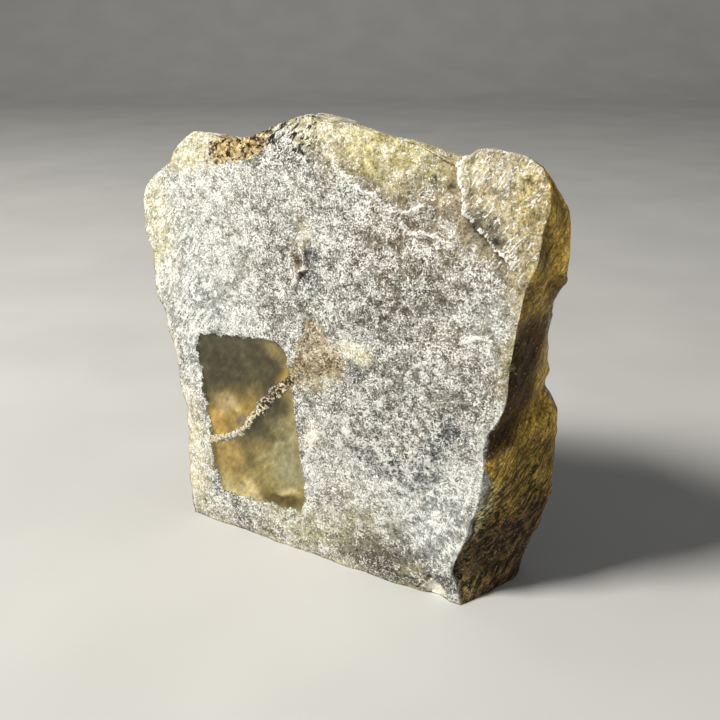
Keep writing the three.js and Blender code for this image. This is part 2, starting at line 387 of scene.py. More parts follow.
def streaks(place, along, size, length, seed):
    """Facets drawn out along one direction: chipped noise on places squeezed along it."""
    along = np.array(along) / np.linalg.norm(along)
    part = place @ along
    return chipped(place + np.outer(part * (size / length - 1), along), size, seed)


def soften(values, squares, times):
    """Each point's value becomes the mean over its squares of their corners' values, repeatedly."""
    count = np.bincount(squares.ravel(), minlength=len(values))[:, None]
    for _ in range(times):
        middle = values[squares].mean(1)
        total = np.stack([np.bincount(squares.ravel(), np.repeat(middle[:, k], 4), len(values))
                          for k in range(values.shape[1])], -1)
        values = total / count
    return values


class Stone:
    """The stone's skin as arrays. `s`, `d` and `t` are each point's shares across, deep and up,
    `block` its place before the breaks, `broken` how far they moved it, `place` where it is and
    `normal` its softened outward direction. The other fields are what the looks are painted from."""

    def __init__(self):
        width, depth, height = (np.array(cad_high) - np.array(cad_low)) / MM
        cells = [round(length / CELL) for length in (width, depth * DEPTH_SHARE, height)]
        shares, self.sides = box_skin(*cells)
        self.s, self.d, self.t = shares.T
        self.squares = np.vstack(list(self.sides.values()))
        self.block = rock_place(self.s, self.d, self.t)
        self.place, self.broken = break_off(self.block, self.t == 0)
        normal = soften(outward_normals(self.place, self.squares), self.squares, 3)
        self.normal = normal / np.linalg.norm(normal, axis=-1, keepdims=True)
        self.find_sides()
        self.find_marks()
        self.carve()

    def find_sides(self):
        """Shares, 0 to 1, of the sawn face, the front, the right and left sides and the back, from
        the way the skin faces. The right side's border with the front is ragged."""
        place, normal = self.place, self.normal
        across, deep, up = place.T
        on_front = self.d == 0
        self.sawn = on_front * (1 - ease(0.02, 0.25, self.broken))
        self.to_right = np.where(on_front, (1 - self.s) * UPPER_WIDTH, np.where(self.s == 1, -deep, FAR))
        self.to_edge = np.minimum(np.minimum(self.s, 1 - self.s) * FULL_WIDTH,
                                  np.minimum(1 - self.t, self.t + 0.4 / FULL_HEIGHT) * FULL_HEIGHT)

        high = ease(50, 65, up)
        leaning = normal[:, 0] + 0.5 * high * np.minimum(normal[:, 1], 0)
        turned = ease(blend(0.35, 0.5, high), blend(0.75, 0.8, high), leaning)
        ragged = noise(place, 3.2, 34) + 0.6 * noise(place, 1.4, 35)
        drawn_in = ease(45, 30, up) * ease(5, 25, up)
        self.right = turned * ease(0.6, -0.8, self.to_right + 1.4 * ragged + drawn_in)
        self.behind = ease(0.35, 0.8, normal[:, 1])
        self.left = ease(0.4, 0.8, -normal[:, 0])
        self.front = (1 - self.right) * (1 - self.behind) * (1 - self.left)

    def find_marks(self):
        """Distances in millimetres from the window, crack, seams and veins, and shares, 0 to 1, of
        the crust, soot, stain, shoulder, web and the parts where the grain lies one way."""
        place = self.place
        across, deep, up = place.T
        on_front = self.d == 0
        self.window = np.where(on_front, outside_pane(across, up, WINDOW, WINDOW_CORNER), FAR)
        gap, side = beside(across, up, CRACK)
        self.crack = np.where(on_front, gap, FAR)
        self.over_crack = side < 0
        self.seam = self.nearest_line(SEAMS)
        self.vein = self.nearest_line(VEINS)

        self.wx = across + 0.9 * noise(place, 5, 31)
        self.wz = up + 0.9 * noise(place, 5, 32)
        near_front = (1 - self.behind) * ease(12, 7, deep)
        self.crust = patch(self.wx, self.wz, *CRUST) * near_front
        self.soot = patch(self.wx, self.wz, *SOOT) * near_front
        x, z = across + 0.8 * noise(place, 3, 38), up + 0.8 * noise(place, 3, 39)
        self.stain = ease(1.6, -0.8, outside_pane(x, z, STAIN, 0.8)) * self.front

        past_ledge = (across - 68.6) * 0.9 + (up - 77.5) * 0.75
        shoulder = ease(0, 3.5, past_ledge) * ease(64, 70, across + 0.2 * (up - 80))
        self.shoulder = shoulder * self.front * ease(66, 71, up)
        self.lay = np.maximum(0.9 * self.shoulder, 0.55 * patch(across, up, *SAW_MARKS) * self.front)
        self.cross_lay = 0.6 * patch(across, up, *CROSS_MARKS) * self.front
        webbed = np.maximum(patch(across, up, *WEB), 0.3 * ease(20, 40, across))
        self.webbed = webbed * self.front * (1 - self.shoulder) * ease(88, 78, up) * ease(4, 12, up)

    def nearest_line(self, lines):
        """Distance to the nearest of several lines on the front, from places that wander a little."""
        x = self.place[:, 0] + 0.5 * noise(self.place, 2.2, 36)
        z = self.place[:, 2] + 0.5 * noise(self.place, 2.2, 37)
        gaps = [beside(x, z, line)[0] for line in lines]
        return np.where(self.behind + self.right > 0.5, FAR, np.min(gaps, axis=0))

    def carve(self):
        """Moves every point along its outward direction by the sum of the reliefs, in millimetres.
        The sum is evened out over the crust and where neighbouring sides meet at the front's
        edges. The foot stays flat, and no other point sinks to it."""
        crusted = np.maximum(self.crust, 0.5 * self.soot)
        relief = self.broken_relief() + self.side_relief() + self.ledge_relief()
        relief = relief + crusted * self.knobs() + self.sawn_relief() - self.crack_depth()
        relief = relief - WINDOW_DEPTH * self.sawn * ease(0.3, -0.3, self.window) - self.edge_wear()

        even = soften(relief[:, None], self.squares, 4)[:, 0]
        at_edge = ease(2, 0.7, self.to_edge) * ease(2.6, 0.9, self.block[:, 1])
        self.relief = blend(relief, even, np.maximum(at_edge, 0.5 * crusted))
        self.place = self.place + self.relief[:, None] * self.normal
        lifted = np.maximum(self.place[:, 2], 0.35 * self.block[:, 2])
        self.place[:, 2] = np.where(self.t == 0, 0, lifted)

    def facets(self, layers):
        """The sum of several sizes of chipped noise."""
        return sum(height * chipped(self.place, size, seed) for height, size, seed in layers)

    def broken_relief(self):
        """Facets on all but the sawn face, the largest behind, and fewer on the top and shoulder."""
        on_top = (self.t == 1) * (self.d < 1)
        plain = (1 - self.behind) * (1 - 0.7 * on_top) * (1 - 0.85 * self.shoulder)
        facets = self.facets(BACK_FACETS) * self.behind + self.facets(PLAIN_FACETS) * plain
        fine = self.facets(FINE_FACETS) * (1 - 0.6 * on_top) * (1 + 0.5 * self.behind)
        return (1 - self.sawn) * (facets + fine)

    def side_relief(self):
        """On the right side ridges along the fibres, knuckles above and a fold with a swelling
        under it, each a bell across its height. On the shoulder only fine ridges."""
        place = self.place
        across, deep, up = place.T
        ridges = 0.2 * streaks(place, (0, 0.75, 0.66), 2.6, 12, 6)
        fine = (0.14 + 0.42 * ease(26, 16, up)) * streaks(place, (0, 0.72, 0.69), 1.5, 8, 8)
        knuckles = 0.55 * ease(60, 68, up) * chipped(place, 4.6, 9)
        crease = up - FOLD_HEIGHT - 0.18 * deep
        fold = (0.7 * bell(crease + 5, 3.5) - 1.1 * bell(crease, 2.4)) * ease(0, 3, deep)
        relief = self.right * (ridges + fine + knuckles + fold)
        return relief + 0.2 * self.shoulder * streaks(place, (0.62, 0, 0.78), 1.3, 9, 7)

    def ledge_relief(self):
        """A raised lip along each ledge's high side, and on its low side a drop from which the rock
        rises back over the reach. Both fade towards the ledge's ends. Keeps the lips, which are later
        painted white as a highlight, and the painted shade on the low side."""
        place = self.place
        across, deep, up = place.T
        near_front = self.front * (self.d < 0.3)
        x = across + 0.7 * noise(place, 3, 21) + 0.3 * noise(place, 1.2, 23)
        z = up + 0.7 * noise(place, 3, 22) + 0.3 * noise(place, 1.2, 24)
        relief = np.zeros(len(place))
        self.lip = np.zeros(len(place))
        self.ledge_shade = np.zeros(len(place))
        for line, low_side, depth, reach, shade_share in LEDGES:
            gap, side = beside(x, z, line)
            to_start, to_end = (np.hypot(across - x0, up - z0) for x0, z0 in (line[0], line[-1]))
            ends = ease(0, 5, to_start + 2) * ease(0, 5, to_end) * near_front
            low = (side == low_side) * ends
            lip = bell(gap, 1.1) * (side != low_side) * ends
            relief = relief + 0.35 * lip - depth * ease(0, 0.5, gap) * np.exp(-gap / reach) * low
            self.lip = np.maximum(self.lip, lip)
            # Painted shade: darkness on the ledge's low side, fading away from the step.
            self.ledge_shade = np.maximum(self.ledge_shade, shade_share * np.exp(-gap / 1.6) * low)
        return relief

    def knobs(self):
        """The crust's knobs: two sizes of folded noise, with sharp gaps between, and facets."""
        knobs = np.abs(noise(self.place, 1.9, 41)) + 0.5 * np.abs(noise(self.place, 1.1, 42))
        return 1.1 * knobs - 0.9 + 0.4 * chipped(self.place, 3, 43)

    def sawn_relief(self):
        """On the sawn face outside the window grain, broad waves, rugged cells, pocks and raised
        veins, and on the front sunk seams and pits."""
        place = self.place
        across, deep, up = place.T
        rugged = np.minimum(patch(across, up, *RUGGED_HIGH) + 0.4 * patch(across, up, *RUGGED_LOW), 1)
        grain = 0.09 * noise(place, 1.25, 52) + 0.07 * noise(place, 0.8, 53)
        broad = 0.14 * noise(place, 11, 54) + 0.1 * chipped(place, 5, 55)
        cells = 0.42 * chipped(place, 3.2, 59) * rugged
        pocks = 0.3 * ease(0.45, 0.8, noise(place, 1.7, 56)) * ease(-0.2, 0.5, noise(place, 14, 57))
        veins = 0.12 * bell(self.vein, 0.45)
        relief = self.sawn * ease(0.0, 0.5, self.window) * (grain + broad + cells - pocks + veins)
        pits = sum(0.8 * size * bell(np.hypot(across - x, up - z), 0.8 * size) for x, z, size in PITS)
        return relief - 0.3 * bell(self.seam, 0.5) - pits * self.front

    def crack_depth(self):
        """Depth of the crack: it falls straight from its line to its edge, is wider and deeper to
        the right, and ends a little past the window. The window's border is drawn round it."""
        across = self.place[:, 0]
        wide_end = ease(16, 25, across)
        gape = np.maximum(0, 1 - self.crack / blend(1.0, 1.5, wide_end))
        self.window = np.where(gape > 0, np.maximum(self.window, 0.8 * gape - 0.3), self.window)
        crumbs = 0.4 + 0.6 * noise(self.place, 0.9, 58)
        return ease(34, 30, across) * gape * blend(0.1, 0.5, wide_end) * crumbs

    def edge_wear(self):
        """Depth of nicks and of a worn bevel along the front's edges, where they haven't broken."""
        nicks = ease(-0.1, 0.5, chipped(self.place, 3, 61)) * ease(2.2, 0, self.to_edge)
        worn = (0.5 + 0.5 * noise(self.place, 5, 62)) * ease(1.6, 0, self.to_edge)**2
        true_edge = ease(3, 0.3, self.block[:, 1]) * ease(2, 0.5, self.broken)
        return (0.75 * nicks + 0.5 * worn) * true_edge


# ---------------------------------------------------------------- colours of the rock

WHITE_GRAIN = (0.95, 0.94, 0.89)
GREY_ROCK = (0.135, 0.13, 0.105)
PALE_ROCK = (0.39, 0.40, 0.355)
BLUE_ROCK = (0.058, 0.068, 0.078)
PALE_BLUE_ROCK = (0.33, 0.365, 0.37)
BROWN_ROCK = (0.17, 0.125, 0.075)
DARK_ROCK = (0.095, 0.085, 0.06)
GREEN_ROCK = (0.36, 0.34, 0.18)
CREAM_ROCK = (0.73, 0.65, 0.35)
YELLOW_ROCK = (0.53, 0.46, 0.19)
TAN_ROCK = (0.46, 0.38, 0.205)
RUST_ROCK = (0.24, 0.12, 0.035)
AMBER = (0.62, 0.40, 0.068)
HONEY = (0.45, 0.285, 0.045)
TREACLE = (0.075, 0.036, 0.003)
OLIVE = (0.17, 0.115, 0.022)
PLUM_BROWN = (0.060, 0.036, 0.013)
PIT_BLACK = (0.025, 0.022, 0.017)
COOL_GRAIN = (0.91, 0.92, 0.89)
HAZE = (0.62, 0.62, 0.57)
SEAM_BROWN = (0.06, 0.04, 0.02)
CRUST_RUST, CRUST_GOLD = (0.24, 0.12, 0.03), (0.68, 0.50, 0.20)
CRUST_CREAM, CRUST_PIT = (0.82, 0.74, 0.52), (0.016, 0.012, 0.008)
SOOT_BLACK = (0.02, 0.016, 0.012)
STAIN_BROWN, STAIN_TAN = (0.165, 0.112, 0.055), (0.44, 0.36, 0.21)
STAIN_GAP, STAIN_GRAIN = (0.06, 0.042, 0.022), (0.82, 0.75, 0.58)
CRUMB_GAP, CRUMB_CREAM = (0.05, 0.035, 0.018), (0.80, 0.71, 0.50)
FLOOR_LOW, FLOOR_HIGH = (0.52, 0.52, 0.51), (0.56, 0.56, 0.55)

# Spots on the front: middle, radii, lean, colour, share, frost and softness.
FRONT_SPOTS = [
    ((6, 62), (16, 34), 5, PALE_ROCK, 0.95, 0.56, 0.5),
    ((5, 54), (10, 15), 10, PALE_BLUE_ROCK, 0.8, 0.53, 0.6),
    ((20, 54), (4, 5), 0, PALE_BLUE_ROCK, 0.6, 0.6, 0.6),
    ((24, 78), (13, 9), 0, PALE_ROCK, 0.45, 0.51, 0.6),
    ((28, 86.5), (8, 3), 10, DARK_ROCK, 0.5, 0.42, 0.6),
    ((27, 73), (5, 7), 0, GREY_ROCK, 0.5, 0.5, 0.6),
    ((60, 77), (13, 10), -10, BROWN_ROCK, 0.9, 0.47, 0.5),
    ((57, 64), (11, 8), 0, DARK_ROCK, 0.85, 0.37, 0.6),
    ((52, 70), (8, 4), 20, BROWN_ROCK, 0.5, 0.42, 0.6),
    ((41, 70), (9, 9), 0, GREY_ROCK, 0.6, 0.54, 0.6),
    ((76, 61), (7, 7), 0, PALE_ROCK, 0.4, 0.58, 0.6),
    ((69, 55), (6, 5), 0, BROWN_ROCK, 0.6, 0.5, 0.6),
    ((56, 43), (16, 8), 10, GREY_ROCK, 0.9, 0.39, 0.6),
    ((47, 36), (7, 4.5), 20, GREY_ROCK, 0.8, 0.43, 0.6),
    ((50, 27.5), (5.5, 4.2), -25, BLUE_ROCK, 1, 0.25, 0.4),
    ((58, 27), (3.2, 3.4), 0, BLUE_ROCK, 0.9, 0.25, 0.4),
    ((65, 29), (3.4, 7.5), 5, BLUE_ROCK, 0.95, 0.25, 0.4),
    ((68.6, 39), (3, 3.2), 0, BLUE_ROCK, 0.9, 0.32, 0.5),
    ((45, 44.6), (5, 2.4), 25, BLUE_ROCK, 0.8, 0.34, 0.5),
    ((36.6, 65), (2.4, 4.6), 10, BLUE_ROCK, 0.85, 0.36, 0.5),
    ((33, 66), (2, 3), 0, RUST_ROCK, 0.55, 0.42, 0.6),
    ((71.5, 27), (5.5, 5), 40, PALE_BLUE_ROCK, 0.95, 0.68, 0.5),
    ((45, 21), (9, 8), 40, PALE_ROCK, 0.6, 0.62, 0.6),
    ((42, 18), (4, 8), 0, BROWN_ROCK, 0.4, 0.5, 0.6),
    ((64, 16), (10, 9), 0, PALE_BLUE_ROCK, 0.8, 0.56, 0.6),
    ((33, 7), (14, 5.5), -4, GREEN_ROCK, 0.9, 0.40, 0.6),
    ((47, 10), (10, 6.5), 20, GREEN_ROCK, 0.75, 0.40, 0.6),
    ((56, 5), (12, 6.5), 0, DARK_ROCK, 0.95, 0.27, 0.6),
    # Painted glow: cream along the thin left edge, where light shines through.
    ((2, 16), (4.5, 14), 0, CREAM_ROCK, 0.85, 0.55, 0.6),
    ((6, 4), (6, 4), 0, GREEN_ROCK, 0.5, 0.55, 0.6),
    ((36.5, 30), (2.2, 3.2), 20, CREAM_ROCK, 0.6, 0.8, 0.6),
    ((36, 18), (1.6, 8), -5, PALE_ROCK, 0.6, 0.72, 0.6),
    # Painted glow: the next four spots, cream and yellow along the thin top-left, left and top edges,
    # stand for light shining through them.
    ((9, 88), (8, 5), 15, CREAM_ROCK, 0.95, 0.48, 0.6),
    ((-3, 74), (4.5, 14), 5, CREAM_ROCK, 0.75, 0.55, 0.6),
    ((54, 89.5), (16, 5.5), -6, YELLOW_ROCK, 0.95, 0.33, 0.5),
    ((36, 93), (5, 3), 0, YELLOW_ROCK, 0.7, 0.45, 0.6),
    # Painted shade: brown in the recess above the first ledge.
    ((62, 84), (7, 3), -15, BROWN_ROCK, 0.7, 0.42, 0.6),
    ((76, 84), (10, 10), 35, TAN_ROCK, 0.95, 0.38, 0.6),
    # Painted shade: dark in the recess to the right of the valley ledge.
    ((74, 78.6), (5, 2.4), -32, DARK_ROCK, 0.9, 0.26, 0.5),
    ((41.5, 90), (3, 5), 15, TAN_ROCK, 0.7, 0.5, 0.6),
    ((34.5, 72), (2.4, 2.6), 0, YELLOW_ROCK, 0.5, 0.5, 0.6),
    ((38.6, 46), (6.4, 5.6), 30, TAN_ROCK, 0.8, 0.42, 0.4),
    ((47.8, 50.6), (3.8, 2.8), 20, CREAM_ROCK, 0.8, 0.62, 0.5),
    ((66, 2.0), (2.6, 2.8), 20, CREAM_ROCK, 0.8, 0.92, 0.4),
    ((60.8, 5.4), (3.4, 1.6), 30, CREAM_ROCK, 0.3, 0.5, 0.6),
]

# The same on the right side, with [deep, up].
RIGHT_SPOTS = [
    # Partly painted glow: the side's upper part is the rock's amber, kept bright for light shining
    # through the thin upper edge.
    ((8, 80), (14, 21), 0, AMBER, 1, 0.03, 0.4),
    ((3, 74), (2.4, 11), 0, OLIVE, 0.8, 0.06, 0.6),
    ((9, 83), (2.6, 5), 0, HONEY, 0.9, 0.06, 0.6),
    ((13, 66), (4, 3), 0, TREACLE, 0.8, 0.03, 0.5),
    ((7, 52), (9, 10), 0, TREACLE, 1, 0.02, 0.4),
    ((17, 47), (5, 9), 10, AMBER, 1, 0.03, 0.5),
    ((16, 38), (6.5, 8.5), 0, AMBER, 0.95, 0.03, 0.6),
    ((6, 41), (8, 4.5), 20, TREACLE, 0.95, 0.02, 0.4),
    ((3.5, 30.5), (5, 4), 15, HONEY, 1, 0.06, 0.5),
    ((13, 27), (9, 7), 15, OLIVE, 0.9, 0.01, 0.6),
    ((2, 22), (2.6, 6), 0, GREEN_ROCK, 0.6, 0.1, 0.6),
    ((10, 8), (16, 11), 15, PLUM_BROWN, 1, 0.02, 0.3),
    ((3, 2.5), (4, 3), 0, OLIVE, 0.8, 0.16, 0.6),
]

# Colours inside the polished window: middle, radii, lean, colour, share and softness.
PANE_DARK = (0.072, 0.064, 0.038)
PANE_OLIVE = (0.25, 0.20, 0.078)
PANE_AMBER = (0.40, 0.27, 0.07)
PANE_CREAM = (0.70, 0.58, 0.30)
PANE_GREEN = (0.29, 0.28, 0.165)
PANE_PLUM = (0.19, 0.155, 0.125)
PANE_GOLD = (0.44, 0.29, 0.08)
PANE_HONEY = (0.36, 0.255, 0.085)
PANE_OCHRE = (0.34, 0.27, 0.10)
PANE_STRAW = (0.42, 0.38, 0.20)
PANE_SHADE = (0.125, 0.108, 0.06)
PANE_MOSS = (0.13, 0.11, 0.05)
PANE_BARK = (0.13, 0.105, 0.042)
PANE_UMBER = (0.10, 0.075, 0.03)
UPPER_PANE = [
    ((15.5, 29), (6, 5), 30, PANE_AMBER, 0.7, 0.8),
    ((10.6, 25.4), (3, 3.6), 20, PANE_GOLD, 0.9, 0.6),
    ((15.6, 32), (2.2, 1.3), -40, PANE_CREAM, 0.6, 0.7),
    ((12.6, 31), (1.4, 2.4), -20, PANE_CREAM, 0.45, 0.8),
    ((17.6, 28.4), (2, 1.5), 10, PANE_PLUM, 0.85, 0.5),
    ((20.5, 34), (4, 2), 45, PANE_AMBER, 0.35, 0.8),
    ((30, 41), (1.6, 5), -10, PANE_AMBER, 0.75, 0.7),
    ((27, 47), (4, 1.6), -20, PANE_OLIVE, 0.7, 0.8),
    ((21, 41), (5, 0.9), -60, PANE_SHADE, 0.6, 0.8),
]
LOWER_PANE = [
    ((23.6, 30.4), (9, 3.6), 46, PANE_DARK, 1, 0.5),
    ((17, 23), (3.4, 1.5), 30, PANE_DARK, 0.6, 0.6),
    ((26, 27), (4, 3), 40, PANE_MOSS, 0.7, 0.7),
    ((29.5, 19), (4.5, 5), 70, PANE_GREEN, 0.85, 0.6),
    ((30, 27), (3, 5), -10, PANE_GREEN, 0.5, 0.7),
    ((13, 19), (3.4, 5), 10, PANE_HONEY, 0.85, 0.7),
    ((20, 20), (3, 5), -20, PANE_BARK, 0.5, 0.7),
    ((16.6, 10.4), (4.6, 1.8), -12, PANE_CREAM, 0.55, 0.7),
    ((19.4, 12.8), (2.2, 1.2), -45, PANE_CREAM, 0.6, 0.7),
    ((27.6, 11), (6, 2.2), 10, PANE_UMBER, 0.9, 0.4),
    ((29.5, 13.4), (3.2, 0.5), 14, PANE_CREAM, 0.6, 0.8),
    ((26.4, 23.8), (6, 0.6), 45, PANE_STRAW, 0.7, 0.9),
    ((21.6, 17), (6, 0.5), 30, PANE_OCHRE, 0.5, 0.9),
]


def paint(colour, frost, across, up, spots):
    """Lays soft oval spots of colour and frost over what is there, one after another."""
    for middle, radii, lean, shade, share, cover, soft in spots:
        amount = share * patch(across, up, middle, radii, lean, soft)
        colour = blend_rows(colour, shade, amount)
        frost = blend(frost, cover, amount)
    return colour, frost


def paint_front(stone):
    """The sawn front and the top: the spots, a cream rim that is painted glow along the thin left and
    top edges with a cream band along the foot, a greenish margin without much grain, a honey edge at
    the upper right that is painted glow, a frosted brink below it, pale lips that are a painted
    highlight, and painted shade under the ledges and in the pits."""
    place, to_right = stone.place, stone.to_right
    across, deep, up = place.T
    x = stone.wx + 1.3 * noise(place, 9, 71) + 1.1 * layered(place, 2.8, 2, 85)
    z = stone.wz + 1.3 * noise(place, 9, 72) + 1.1 * layered(place, 2.8, 2, 87)
    colour = np.tile(GREY_ROCK, (len(place), 1))
    colour, frost = paint(colour, np.full(len(place), 0.51), x, z, FRONT_SPOTS)

    patchy = ease(-0.6, 0.5, noise(place, 6, 74))
    # Painted glow: cream along the thin left and top edges, where light shines through; also a cream
    # band along the foot.
    rim = np.maximum(ease(4.2, 0.4, stone.s * FULL_WIDTH),
                     0.9 * ease(2.4, 0, (1 - stone.t) * FULL_HEIGHT))
    rim = np.maximum(rim, 0.8 * ease(2.2, 0, up)) * patchy
    colour = blend_rows(colour, CREAM_ROCK, 0.9 * rim)

    margin = ease(5.5, 1.5, to_right + 1.5 * noise(place, 6, 78)) * ease(42, 52, up)
    colour = blend_rows(colour, blend_rows(TAN_ROCK, GREEN_ROCK, patchy), 0.85 * margin)
    frost = blend(frost, 0.3, 0.85 * margin)
    # Painted glow: honey along the thin upper right edge, where light shines through.
    edge = ease(3, -1, to_right + 1.8 * noise(place, 2.6, 79)) * ease(50, 64, up)
    colour = blend_rows(colour, blend_rows(TAN_ROCK, HONEY, patchy), 0.48 * edge)
    frost = blend(frost, 0.32, 0.7 * edge)

    brink = ease(3.2, 0.6, to_right + 0.9 * noise(place, 2.2, 89)) * ease(52, 42, up)
    brink = brink * ease(-0.8, 0.2, to_right) * ease(3, 9, up)
    colour = blend_rows(colour, PALE_ROCK, 0.7 * brink)
    frost = np.maximum(frost, 0.68 * brink)

    # Painted highlight: white grain along each ledge's raised lip.
    frost = np.maximum(frost, 1.05 * stone.lip)
    # Painted shade on each ledge's low side: browner, with less white grain.
    colour = blend_rows(colour, BROWN_ROCK, 0.8 * stone.ledge_shade)
    frost = frost * (1 - 0.75 * stone.ledge_shade)
    # Painted shade: near black in each pit, a little wider than its dent.
    for x, z, size in PITS:
        dip = bell(np.hypot(across - x, up - z), 1.1 * size)
        colour = blend_rows(colour, PIT_BLACK, 0.95 * dip)
        frost = frost * (1 - dip)
    return colour, frost


def paint_right(stone):
    """The amber and brown right side: its spots, with a painted highlight on ridges, painted shade in
    hollows and a painted glow towards the back edge.
    """
    place = stone.place
    y = place[:, 1] + 1.6 * noise(place, 5, 73)
    z = stone.wz + 1.6 * noise(place, 7, 72)
    colour = np.tile(TREACLE, (len(place), 1))
    colour, frost = paint(colour, np.full(len(place), 0.03), y, z, RIGHT_SPOTS)
    ridge, hollow = ease(0.0, 0.8, stone.relief), ease(-0.1, -0.9, stone.relief)
    # Painted highlight on ridges and painted shade in hollows.
    colour = blend_rows(colour, colour * 1.9, 0.6 * ridge)
    colour = blend_rows(colour, colour * 0.45, 0.6 * hollow)
    # Painted glow: brighter towards the back edge, where light shines through the thin rim.
    colour = colour * (1 + 0.7 * ease(0.75, 0.95, stone.d))[:, None]
    return colour, frost + 0.08 * ridge


def paint_back(stone):
    """The back and left: tan and pale mottling with honey stains and dark patches, painted shade in
    hollows, and frostier on ridges."""
    place = stone.place
    mottle = ease(-0.5, 0.6, layered(place, 11, 4, 75))
    stain = ease(0.1, 0.8, layered(place, 8, 4, 76))
    dark = ease(0.15, 0.8, layered(place, 7, 4, 77))
    ridge, hollow = ease(0.0, 0.8, stone.relief), ease(-0.1, -0.9, stone.relief)
    colour = 0.75 * blend_rows(TAN_ROCK, PALE_ROCK, mottle)
    colour = blend_rows(colour, HONEY, 0.45 * stain)
    colour = blend_rows(colour, DARK_ROCK, 0.7 * dark)
    # Painted shade: darker in the hollows of the broken faces.
    colour = blend_rows(colour, colour * 0.5, 0.6 * hollow)
    return colour, 0.16 + 0.18 * mottle + 0.14 * ridge


def paint_rock(stone):
    """The rock's colour, with its painted glow, highlights and shade, and its share of white grain,
    partly crushed frosting and partly painted sparkle, point by point: the front's, with the left,
    the right and then the back laid over it by their shares."""
    colour, frost = paint_front(stone)
    back = paint_back(stone)
    right = paint_right(stone)
    for (shade, cover), share in ((back, stone.left), (right, stone.right), (back, stone.behind)):
        colour = blend_rows(colour, shade, share)
        frost = blend(frost, cover, share)
    return colour, frost


def paint_pane(stone):
    """The colours seen in the polished window, above and below the crack, under a light cloud."""
    x = stone.wx + 0.8 * noise(stone.place, 3, 81)
    z = stone.wz + 0.8 * noise(stone.place, 3, 82)
    halves = []
    for base, spots in ((PANE_DARK, UPPER_PANE), (PANE_OLIVE, LOWER_PANE)):
        colour = np.tile(base, (len(x), 1))
        for middle, radii, lean, shade, share, soft in spots:
            colour = blend_rows(colour, shade, share * patch(x, z, middle, radii, lean, soft))
        halves.append(colour)
    cloud = 1 + 0.2 * layered(stone.place, 3, 3, 83)
    return blend_rows(halves[1], halves[0], stone.over_crack) * cloud[:, None]


# ---------------------------------------------------------------- meshes

# Where each side lies on the stone's flat map: low corner and size, as shares of the map. The sawn
# front gets the most room, the back, left and foot less.
MAP_PLACES = {
    "front": (0.005, 0.355, 0.61, 0.64), "right": (0.63, 0.355, 0.175, 0.64),
    "left": (0.815, 0.355, 0.175, 0.64), "top": (0.005, 0.175, 0.61, 0.17),
    "foot": (0.005, 0.005, 0.61, 0.16), "back": (0.63, 0.005, 0.36, 0.34),
}
MAP_AXES = {
    "front": (0, 2), "back": (0, 2), "left": (1, 2), "right": (1, 2), "foot": (0, 1), "top": (0, 1),
}

# The stone's fields that its material reads besides the painted colours and frost.
ROCK_FIELDS = ("sawn", "window", "crack", "crust", "soot", "stain", "lay", "cross_lay", "webbed",
               "right", "seam", "vein")


def add_mesh(name, places, squares):
    """A smooth-shaded mesh object from places in metres and squares of point numbers."""
    mesh = bpy.data.meshes.new(name)
    mesh.from_pydata(places.tolist(), [], squares.tolist())
    mesh.shade_smooth()
    piece = bpy.data.objects.new(name, mesh)
    bpy.context.scene.collection.objects.link(piece)
    return piece


def put_field(mesh, name, values):
    """Stores one number, or one colour, per point under a name that the material reads."""
    if values.ndim == 1:
        kind, key = "FLOAT", "value"
    else:
        kind, key = "FLOAT_COLOR", "color"
        values = np.column_stack([np.clip(values, 0, 1), np.ones(len(values))])
    field = mesh.attributes.new(name, kind, "POINT")
    field.data.foreach_set(key, values.astype(np.float32).ravel())


def make_stone_piece(stone):
    """The stone's mesh, moved so that its box sits on the CAD node's, with its fields and flat map."""
    places = stone.place * MM
    low, high = places.min(0), places.max(0)
    middle = (np.array(cad_low) + np.array(cad_high)) / 2 - (low + high) / 2
    places = places + (middle[0], middle[1], cad_low[2] - low[2])
    piece = add_mesh("labradorite_rock", places, stone.squares)

    mesh = piece.data
    colour, frost = paint_rock(stone)
    put_field(mesh, "rock_colour", colour)
    put_field(mesh, "pane_colour", paint_pane(stone))
    put_field(mesh, "frost", frost)
    for name in ROCK_FIELDS:
        put_field(mesh, name, getattr(stone, name))

    shares = np.stack([stone.s, stone.d, stone.t], -1)
    corners = []
    for side, squares in stone.sides.items():
        x, y, map_width, map_height = MAP_PLACES[side]
        flat = shares[squares.ravel()][:, MAP_AXES[side]]
        corners.append(flat * (map_width, map_height) + (x, y))
    layer = mesh.uv_layers.new(name="OFBake")
    layer.data.foreach_set("uv", np.vstack(corners).astype(np.float32).ravel())
    return piece


# ---------------------------------------------------------------- materials

# Sizes of the white grain's long and short crooked lines and flecks, and of the fibres, in
# millimetres. Leans of the grain and fibres are in degrees.
LONG_GRAIN, SHORT_GRAIN, FLECK, FIBRE = 0.74, 0.5, 0.4, 0.75
RISING_LEAN, FALLING_LEAN, FIBRE_LEAN = -52, 62, 42
GRAIN_RELIEF = 0.2 * MM


